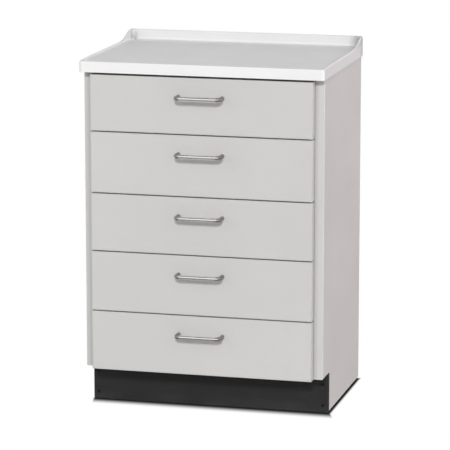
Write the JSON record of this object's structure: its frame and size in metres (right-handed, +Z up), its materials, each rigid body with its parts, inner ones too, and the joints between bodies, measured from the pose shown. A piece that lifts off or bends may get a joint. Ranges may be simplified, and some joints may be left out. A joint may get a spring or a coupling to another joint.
{
  "type": "treatment cabinet with drawers",
  "caption": "Floor-standing treatment cabinet with full-width drawers on roller runners, wire pulls, a recessed black toe kick and a moulded white top with a rear splash.",
  "frame": {"origin": "on the floor, at the middle of the footprint, pulls included", "axes": "+Z up, -Y towards the person who opens the drawers, X across the front"},
  "size_m": [0.61, 0.492, 0.889],
  "materials": {
    "grey_laminate": "light grey pressed laminate on board, matt",
    "white_melamine": "white melamine faced board, matt",
    "white_hardboard": "thin board with a white face",
    "raw_board": "bare particle board",
    "black_laminate": "black laminate on board, matt",
    "moulded_white": "white moulded plastic, satin",
    "black_plastic": "black plastic, matt",
    "nylon_roller": "natural nylon",
    "bright_pull": "bright nickel on a round bar",
    "runner_white": "white powder coat on folded steel",
    "zinc_screw": "zinc plate",
    "black_screw": "black oxide",
    "zinc_fitting": "die-cast zinc alloy"
  },
  "bodies": {
    "cabinet": {"left_side_panel": "grey_laminate", "right_side_panel": "grey_laminate", "deck_panel": "white_melamine", "top_front_rail": "white_melamine", "top_rear_rail": "white_melamine", "cam_locks": "zinc_fitting", "back_panel": "white_hardboard", "toe_kick": "black_laminate", "toe_kick_screws": "black_screw", "floor_glides": "black_plastic", "moulded_top": "moulded_white", "top_board": "raw_board", "top_screws": "zinc_screw", "cabinet_runners": "runner_white", "runner_screws": "zinc_screw"},
    "drawer_1": {"drawer_1_front": "grey_laminate", "drawer_1_box_sides": "white_melamine", "drawer_1_box_ends": "white_melamine", "drawer_1_bottom": "white_hardboard", "drawer_1_pull": "bright_pull", "drawer_1_screws": "zinc_screw", "drawer_1_runners": "runner_white"},
    "rear_rollers_1": {"drawer_1_rear_rollers": "nylon_roller"},
    "front_rollers_1": {"drawer_1_front_rollers": "nylon_roller"},
    "drawer_2": {"drawer_2_front": "grey_laminate", "drawer_2_box_sides": "white_melamine", "drawer_2_box_ends": "white_melamine", "drawer_2_bottom": "white_hardboard", "drawer_2_pull": "bright_pull", "drawer_2_screws": "zinc_screw", "drawer_2_runners": "runner_white"},
    "rear_rollers_2": {"drawer_2_rear_rollers": "nylon_roller"},
    "front_rollers_2": {"drawer_2_front_rollers": "nylon_roller"},
    "drawer_3": {"drawer_3_front": "grey_laminate", "drawer_3_box_sides": "white_melamine", "drawer_3_box_ends": "white_melamine", "drawer_3_bottom": "white_hardboard", "drawer_3_pull": "bright_pull", "drawer_3_screws": "zinc_screw", "drawer_3_runners": "runner_white"},
    "rear_rollers_3": {"drawer_3_rear_rollers": "nylon_roller"},
    "front_rollers_3": {"drawer_3_front_rollers": "nylon_roller"},
    "drawer_4": {"drawer_4_front": "grey_laminate", "drawer_4_box_sides": "white_melamine", "drawer_4_box_ends": "white_melamine", "drawer_4_bottom": "white_hardboard", "drawer_4_pull": "bright_pull", "drawer_4_screws": "zinc_screw", "drawer_4_runners": "runner_white"},
    "rear_rollers_4": {"drawer_4_rear_rollers": "nylon_roller"},
    "front_rollers_4": {"drawer_4_front_rollers": "nylon_roller"},
    "drawer_5": {"drawer_5_front": "grey_laminate", "drawer_5_box_sides": "white_melamine", "drawer_5_box_ends": "white_melamine", "drawer_5_bottom": "white_hardboard", "drawer_5_pull": "bright_pull", "drawer_5_screws": "zinc_screw", "drawer_5_runners": "runner_white"},
    "rear_rollers_5": {"drawer_5_rear_rollers": "nylon_roller"},
    "front_rollers_5": {"drawer_5_front_rollers": "nylon_roller"}
  },
  "joints": [
    {"name": "drawer_1_slide", "type": "slide", "parent": "cabinet", "child": "drawer_1", "axis": [0, -1, 0], "range_m": [0, 0.3]},
    {"name": "rear_rollers_1_spin", "type": "hinge", "parent": "drawer_1", "child": "rear_rollers_1", "pos_m": [0, 0.204, 0.7284], "axis": [1, 0, 0], "continuous": true},
    {"name": "front_rollers_1_spin", "type": "hinge", "parent": "cabinet", "child": "front_rollers_1", "pos_m": [0, -0.167, 0.727], "axis": [1, 0, 0], "continuous": true},
    {"name": "drawer_2_slide", "type": "slide", "parent": "cabinet", "child": "drawer_2", "axis": [0, -1, 0], "range_m": [0, 0.3]},
    {"name": "rear_rollers_2_spin", "type": "hinge", "parent": "drawer_2", "child": "rear_rollers_2", "pos_m": [0, 0.204, 0.5759], "axis": [1, 0, 0], "continuous": true},
    {"name": "front_rollers_2_spin", "type": "hinge", "parent": "cabinet", "child": "front_rollers_2", "pos_m": [0, -0.167, 0.5745], "axis": [1, 0, 0], "continuous": true},
    {"name": "drawer_3_slide", "type": "slide", "parent": "cabinet", "child": "drawer_3", "axis": [0, -1, 0], "range_m": [0, 0.3]},
    {"name": "rear_rollers_3_spin", "type": "hinge", "parent": "drawer_3", "child": "rear_rollers_3", "pos_m": [0, 0.204, 0.4314], "axis": [1, 0, 0], "continuous": true},
    {"name": "front_rollers_3_spin", "type": "hinge", "parent": "cabinet", "child": "front_rollers_3", "pos_m": [0, -0.167, 0.43], "axis": [1, 0, 0], "continuous": true},
    {"name": "drawer_4_slide", "type": "slide", "parent": "cabinet", "child": "drawer_4", "axis": [0, -1, 0], "range_m": [0, 0.3]},
    {"name": "rear_rollers_4_spin", "type": "hinge", "parent": "drawer_4", "child": "rear_rollers_4", "pos_m": [0, 0.204, 0.2814], "axis": [1, 0, 0], "continuous": true},
    {"name": "front_rollers_4_spin", "type": "hinge", "parent": "cabinet", "child": "front_rollers_4", "pos_m": [0, -0.167, 0.28], "axis": [1, 0, 0], "continuous": true},
    {"name": "drawer_5_slide", "type": "slide", "parent": "cabinet", "child": "drawer_5", "axis": [0, -1, 0], "range_m": [0, 0.3]},
    {"name": "rear_rollers_5_spin", "type": "hinge", "parent": "drawer_5", "child": "rear_rollers_5", "pos_m": [0, 0.204, 0.1319], "axis": [1, 0, 0], "continuous": true},
    {"name": "front_rollers_5_spin", "type": "hinge", "parent": "cabinet", "child": "front_rollers_5", "pos_m": [0, -0.167, 0.1305], "axis": [1, 0, 0], "continuous": true}
  ],
  "couplings": [
    {"joint": "rear_rollers_1_spin", "follows": "drawer_1_slide", "rad_per_m": 133.33},
    {"joint": "front_rollers_1_spin", "follows": "drawer_1_slide", "rad_per_m": 133.33},
    {"joint": "rear_rollers_2_spin", "follows": "drawer_2_slide", "rad_per_m": 133.33},
    {"joint": "front_rollers_2_spin", "follows": "drawer_2_slide", "rad_per_m": 133.33},
    {"joint": "rear_rollers_3_spin", "follows": "drawer_3_slide", "rad_per_m": 133.33},
    {"joint": "front_rollers_3_spin", "follows": "drawer_3_slide", "rad_per_m": 133.33},
    {"joint": "rear_rollers_4_spin", "follows": "drawer_4_slide", "rad_per_m": 133.33},
    {"joint": "front_rollers_4_spin", "follows": "drawer_4_slide", "rad_per_m": 133.33},
    {"joint": "rear_rollers_5_spin", "follows": "drawer_5_slide", "rad_per_m": 133.33},
    {"joint": "front_rollers_5_spin", "follows": "drawer_5_slide", "rad_per_m": 133.33}
  ]
}
